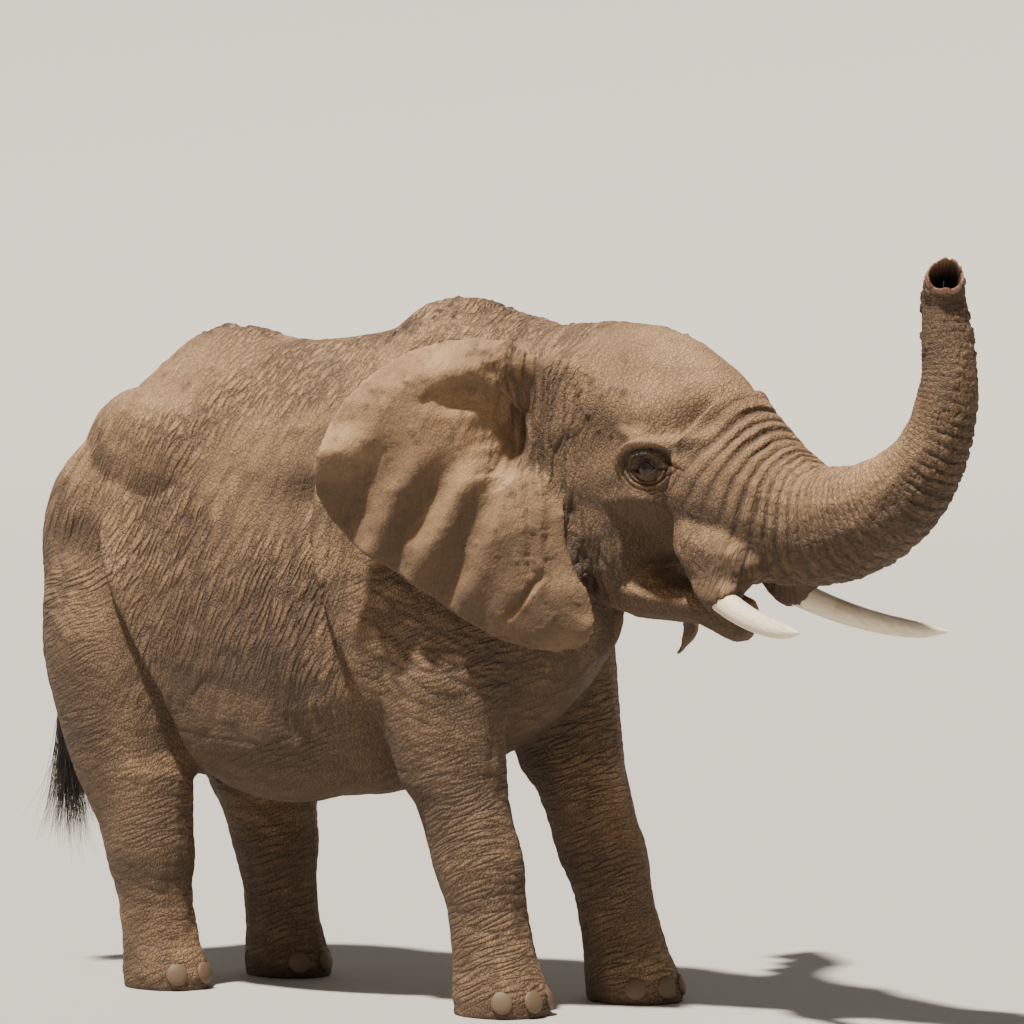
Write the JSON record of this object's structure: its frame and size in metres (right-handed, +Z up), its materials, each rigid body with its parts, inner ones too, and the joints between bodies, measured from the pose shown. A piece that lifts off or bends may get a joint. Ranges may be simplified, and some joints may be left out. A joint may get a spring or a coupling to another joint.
{
  "type": "elephant model",
  "caption": "Life-size still model of an African savanna elephant cow, mid-stride, head up, ears half spread and trunk curled up.",
  "frame": {"origin": "middle of the bounding box in plan, on the ground under the soles", "axes": "+X the way the body faces, +Y the elephant's left side, +Z up"},
  "size_m": [3.874, 1.7002, 2.5742],
  "materials": {
    "hide": "dry, deeply wrinkled hide, dusted with mud",
    "ear_hide": "thin wrinkled hide",
    "ivory": "smooth, stained at the root",
    "nail_horn": "worn horn",
    "eye": "wet and dark brown",
    "hair": "coarse black hair"
  },
  "bodies": {
    "root": {"ear_left": "ear_hide", "ear_right": "ear_hide", "eye_left": "eye", "eye_right": "eye", "forefoot_left": "hide", "forefoot_right": "hide", "foreleg_left": "hide", "foreleg_right": "hide", "head": "hide", "hind_foot_left": "hide", "hind_foot_right": "hide", "hind_leg_left": "hide", "hind_leg_right": "hide", "lower_jaw": "hide", "nail_fore_left_1": "nail_horn", "nail_fore_left_2": "nail_horn", "nail_fore_left_3": "nail_horn", "nail_fore_left_4": "nail_horn", "nail_fore_right_1": "nail_horn", "nail_fore_right_2": "nail_horn", "nail_fore_right_3": "nail_horn", "nail_fore_right_4": "nail_horn", "nail_hind_left_1": "nail_horn", "nail_hind_left_2": "nail_horn", "nail_hind_left_3": "nail_horn", "nail_hind_right_1": "nail_horn", "nail_hind_right_2": "nail_horn", "nail_hind_right_3": "nail_horn", "neck": "hide", "tail": "hide", "tail_tuft": "hair", "torso": "hide", "trunk_bend": "hide", "trunk_rise": "hide", "trunk_tip": "hide", "tusk_left": "ivory", "tusk_right": "ivory"}
  },
  "joints": []
}
